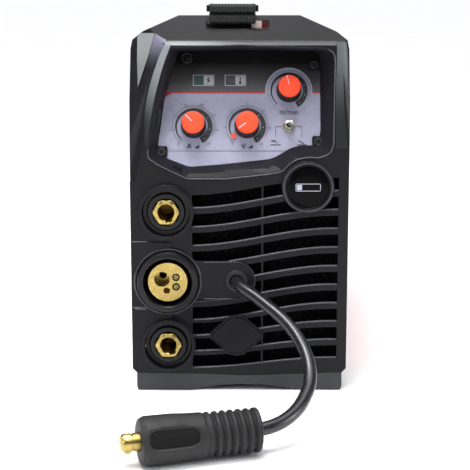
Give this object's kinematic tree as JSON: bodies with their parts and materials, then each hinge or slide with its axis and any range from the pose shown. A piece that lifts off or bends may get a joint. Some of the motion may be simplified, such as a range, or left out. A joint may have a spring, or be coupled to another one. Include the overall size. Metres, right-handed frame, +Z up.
{
  "type": "mig welding machine",
  "caption": "Compact inverter MIG welding machine with tilted control panel, brass sockets, louvred front, carrying strap, wire feeder behind a hinged side door and a polarity lead with plug.",
  "frame": {"origin": "on the floor, under the middle of the case", "axes": "+Z up, the front with the sockets and dials faces -Y, +X is on the right seen from the front"},
  "size_m": [0.175, 0.6051, 0.3125],
  "materials": {
    "case_plastic": "fine moulded texture, satin",
    "black_plastic": "smooth, semi-gloss",
    "label": "printed membrane, satin",
    "cap_orange": "satin",
    "red_paint": "powder coat, gloss",
    "zinc_steel": "zinc plated",
    "nickel": "nickel plated",
    "brass": "turned",
    "rubber": "matte moulded",
    "cord": "smooth, semi-gloss sheath",
    "webbing": "woven polypropylene",
    "aluminium": "die cast or extruded",
    "circuit_board": "solder mask",
    "copper_wire": "coppered wire",
    "lens": "clear tinted window"
  },
  "bodies": {
    "case": {"front_bezel": "case_plastic", "rear_bezel": "case_plastic", "blanking_cover": "case_plastic", "positive_socket_body": "black_plastic", "negative_socket_body": "black_plastic", "torch_socket_collar": "black_plastic", "badge": "black_plastic", "strap_slider": "black_plastic", "spool_hub": "black_plastic", "spool_nut": "black_plastic", "fan_frame": "black_plastic", "power_switch_body": "black_plastic", "mains_cable_gland": "black_plastic", "transformer": "black_plastic", "control_plate": "label", "outer_cover": "red_paint", "base_pan": "zinc_steel", "partition": "zinc_steel", "door_hinge_pin": "zinc_steel", "feed_motor": "zinc_steel", "mode_switch_bushing": "nickel", "trigger_contact_upper": "nickel", "trigger_contact_lower": "nickel", "positive_socket_contact": "brass", "negative_socket_contact": "brass", "torch_socket_block": "brass", "polarity_plug_pin": "brass", "gas_inlet": "brass", "gas_valve": "brass", "lead_grommet": "rubber", "polarity_plug_sleeve": "rubber", "polarity_lead": "cord", "carry_strap": "webbing", "feeder_frame": "aluminium", "heatsink": "aluminium", "control_board": "circuit_board", "main_board": "circuit_board", "output_choke": "copper_wire", "welding_wire": "copper_wire", "indicator_lens_left": "lens", "indicator_lens_right": "lens"},
    "side_door": {"side_door": "red_paint"},
    "door_latch_front": {"door_latch_front": "black_plastic"},
    "door_latch_rear": {"door_latch_rear": "black_plastic"},
    "current_knob": {"current_knob": "black_plastic", "current_cap": "cap_orange"},
    "voltage_knob": {"voltage_knob": "black_plastic", "voltage_cap": "cap_orange"},
    "wire_speed_knob": {"wire_speed_knob": "black_plastic", "wire_speed_cap": "cap_orange"},
    "mode_switch_lever": {"mode_switch_lever": "nickel"},
    "power_switch_rocker": {"power_switch_rocker": "black_plastic"},
    "fan_rotor": {"fan_rotor": "black_plastic"},
    "wire_spool": {"wire_spool": "black_plastic", "wire_coil": "copper_wire"},
    "drive_roll": {"drive_roll": "nickel"},
    "pressure_arm": {"pressure_arm": "aluminium"},
    "pressure_roll": {"pressure_roll": "nickel"},
    "tension_screw": {"tension_screw": "nickel"},
    "tension_knob": {"tension_knob": "black_plastic"}
  },
  "joints": [
    {"name": "side_door_hinge", "type": "hinge", "parent": "case", "child": "side_door", "pos_m": [-0.0845, 0, 0.0125], "axis": [0, -1, 0], "range_deg": [0, 90]},
    {"name": "door_latch_front_turn", "type": "hinge", "parent": "side_door", "child": "door_latch_front", "pos_m": [-0.085, -0.115, 0.258], "axis": [-1, 0, 0], "range_deg": [0, 90]},
    {"name": "door_latch_rear_turn", "type": "hinge", "parent": "side_door", "child": "door_latch_rear", "pos_m": [-0.085, 0.115, 0.258], "axis": [-1, 0, 0], "range_deg": [0, 90]},
    {"name": "current_knob_turn", "type": "hinge", "parent": "case", "child": "current_knob", "pos_m": [-0.0368, -0.19105, 0.216], "axis": [0, 0.9455, -0.3256], "range_deg": [-103, 197]},
    {"name": "voltage_knob_turn", "type": "hinge", "parent": "case", "child": "voltage_knob", "pos_m": [0.0061, -0.19105, 0.216], "axis": [0, 0.9455, -0.3256], "range_deg": [-23, 277]},
    {"name": "wire_speed_knob_turn", "type": "hinge", "parent": "case", "child": "wire_speed_knob", "pos_m": [0.0399, -0.18148, 0.2438], "axis": [0, 0.9455, -0.3256], "range_deg": [-135, 165]},
    {"name": "mode_switch_throw", "type": "hinge", "parent": "case", "child": "mode_switch_lever", "pos_m": [0.0397, -0.19486, 0.2172], "axis": [0, 0.3256, 0.9455], "range_deg": [-16, 0]},
    {"name": "power_switch_rock", "type": "hinge", "parent": "case", "child": "power_switch_rocker", "pos_m": [-0.0395, 0.2065, 0.225], "axis": [1, 0, 0], "range_deg": [-20, 0]},
    {"name": "fan_spin", "type": "hinge", "parent": "case", "child": "fan_rotor", "pos_m": [0.03, 0.175, 0.115], "axis": [0, 1, 0], "continuous": true},
    {"name": "spool_spin", "type": "hinge", "parent": "case", "child": "wire_spool", "pos_m": [-0.0515, 0.075, 0.15], "axis": [1, 0, 0], "continuous": true},
    {"name": "drive_roll_spin", "type": "hinge", "parent": "case", "child": "drive_roll", "pos_m": [-0.0625, -0.074, 0.0788], "axis": [1, 0, 0], "continuous": true},
    {"name": "tension_screw_swing", "type": "hinge", "parent": "case", "child": "tension_screw", "pos_m": [-0.0505, -0.11, 0.08], "axis": [1, 0, 0], "range_deg": [0, 45]},
    {"name": "tension_knob_turn", "type": "hinge", "parent": "tension_screw", "child": "tension_knob", "pos_m": [-0.0505, -0.11, 0.08], "axis": [0, 0, 1], "range_deg": [0, 360]},
    {"name": "pressure_arm_lift", "type": "hinge", "parent": "case", "child": "pressure_arm", "pos_m": [-0.0505, -0.036, 0.114], "axis": [-1, 0, 0], "range_deg": [0, 4.5]},
    {"name": "pressure_roll_spin", "type": "hinge", "parent": "pressure_arm", "child": "pressure_roll", "pos_m": [-0.0625, -0.074, 0.1082], "axis": [1, 0, 0], "continuous": true}
  ],
  "couplings": [
    {"joint": "drive_roll_spin", "follows": "spool_spin", "ratio": -5},
    {"joint": "pressure_roll_spin", "follows": "spool_spin", "ratio": 5.7692},
    {"joint": "pressure_arm_lift", "follows": "tension_screw_swing", "ratio": 0.1}
  ]
}
